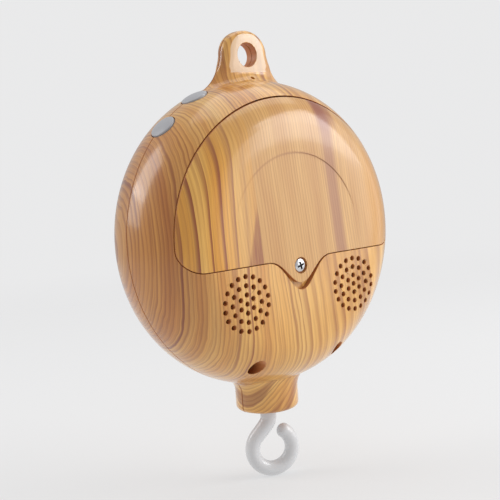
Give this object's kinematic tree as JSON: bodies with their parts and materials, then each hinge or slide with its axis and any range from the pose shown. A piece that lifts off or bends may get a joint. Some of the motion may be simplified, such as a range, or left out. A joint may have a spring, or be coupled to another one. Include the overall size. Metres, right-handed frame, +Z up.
{
  "type": "hanging music box",
  "caption": "Round hanging music box with a rear battery door, speaker grilles, rim push buttons and a motor-turned hook under its neck.",
  "frame": {"origin": "centre of the hanging eye, in the plane where the two shells meet", "axes": "+Z up, +Y out of the plain front shell, -Y out of the back with the battery door, +X to the right when facing the back"},
  "size_m": [0.11, 0.0458, 0.1645],
  "materials": {
    "wood_shell": "semi-gloss printed wood look",
    "wood_door": "semi-gloss printed wood look",
    "button_grey": "satin",
    "hook_plastic": "gloss",
    "black_plastic": "satin",
    "gear_plastic": "satin",
    "plated_steel": "bright",
    "board_green": "satin",
    "cone_paper": "matt",
    "cell_sleeve": "satin",
    "magnet_grey": "matt"
  },
  "bodies": {
    "case": {"back_shell": "wood_shell", "front_shell": "wood_shell", "battery_tray": "black_plastic", "gearbox_base": "black_plastic", "gearbox_cover": "black_plastic", "motor_end_cap": "black_plastic", "power_switch": "black_plastic", "volume_switch": "black_plastic", "sound_chip": "black_plastic", "capacitor": "black_plastic", "neck_bush": "gear_plastic", "lead_socket": "gear_plastic", "case_screw_1": "plated_steel", "case_screw_2": "plated_steel", "case_screw_3": "plated_steel", "case_screw_4": "plated_steel", "board_screw_1": "plated_steel", "board_screw_2": "plated_steel", "tray_screw_1": "plated_steel", "tray_screw_2": "plated_steel", "gearbox_screw_1": "plated_steel", "gearbox_screw_2": "plated_steel", "gear_pin_1": "plated_steel", "gear_pin_2": "plated_steel", "motor": "plated_steel", "speaker_frame_left": "plated_steel", "speaker_frame_right": "plated_steel", "contact_positive": "plated_steel", "contact_negative": "plated_steel", "contact_bridge_left": "plated_steel", "contact_bridge_right": "plated_steel", "battery_spring_1": "plated_steel", "battery_spring_2": "plated_steel", "battery_spring_3": "plated_steel", "main_board": "board_green", "button_board": "board_green", "speaker_cone_left": "cone_paper", "speaker_cone_right": "cone_paper", "battery_cell_1": "cell_sleeve", "battery_cell_2": "cell_sleeve", "battery_cell_3": "cell_sleeve", "speaker_magnet_left": "magnet_grey", "speaker_magnet_right": "magnet_grey"},
    "door": {"battery_cover": "wood_door"},
    "door_screw": {"cover_screw": "plated_steel", "cover_screw_washer": "plated_steel"},
    "power_key": {"power_button": "button_grey"},
    "volume_key": {"volume_button": "button_grey"},
    "hook_rotor": {"hook": "hook_plastic", "hook_shaft": "plated_steel", "output_gear": "gear_plastic", "shaft_clip": "plated_steel"},
    "second_gear_body": {"second_gear": "gear_plastic"},
    "first_gear_body": {"first_gear": "gear_plastic"},
    "motor_rotor": {"motor_pinion": "gear_plastic", "motor_shaft": "plated_steel"}
  },
  "joints": [
    {"name": "door_hinge", "type": "hinge", "parent": "case", "child": "door", "pos_m": [0, -0.01876, -0.016], "axis": [1, 0, 0], "range_deg": [-30, 0]},
    {"name": "door_screw_turn", "type": "hinge", "parent": "door", "child": "door_screw", "pos_m": [0, -0.0241, -0.0749], "axis": [0, -1, 0], "continuous": true},
    {"name": "power_press", "type": "slide", "parent": "case", "child": "power_key", "axis": [0.682, 0, -0.7314], "range_m": [0, 0.0006], "stiffness_N_per_m": 400, "springref_m": -0.0004},
    {"name": "volume_press", "type": "slide", "parent": "case", "child": "volume_key", "axis": [0.4258, 0, -0.9048], "range_m": [0, 0.0006], "stiffness_N_per_m": 400, "springref_m": -0.0004},
    {"name": "hook_spin", "type": "hinge", "parent": "case", "child": "hook_rotor", "pos_m": [0, 0, -0.129], "axis": [0, 0, 1], "continuous": true},
    {"name": "second_gear_spin", "type": "hinge", "parent": "case", "child": "second_gear_body", "pos_m": [-0.01039, -0.006, -0.0999], "axis": [0, 0, 1], "continuous": true},
    {"name": "first_gear_spin", "type": "hinge", "parent": "case", "child": "first_gear_body", "pos_m": [-0.01039, 0.006, -0.0969], "axis": [0, 0, 1], "continuous": true},
    {"name": "motor_spin", "type": "hinge", "parent": "case", "child": "motor_rotor", "pos_m": [0.00102, 0.00971, -0.0959], "axis": [0, 0, 1], "continuous": true}
  ],
  "couplings": [
    {"joint": "second_gear_spin", "follows": "hook_spin", "ratio": -4},
    {"joint": "first_gear_spin", "follows": "hook_spin", "ratio": 16},
    {"joint": "motor_spin", "follows": "hook_spin", "ratio": -64}
  ]
}
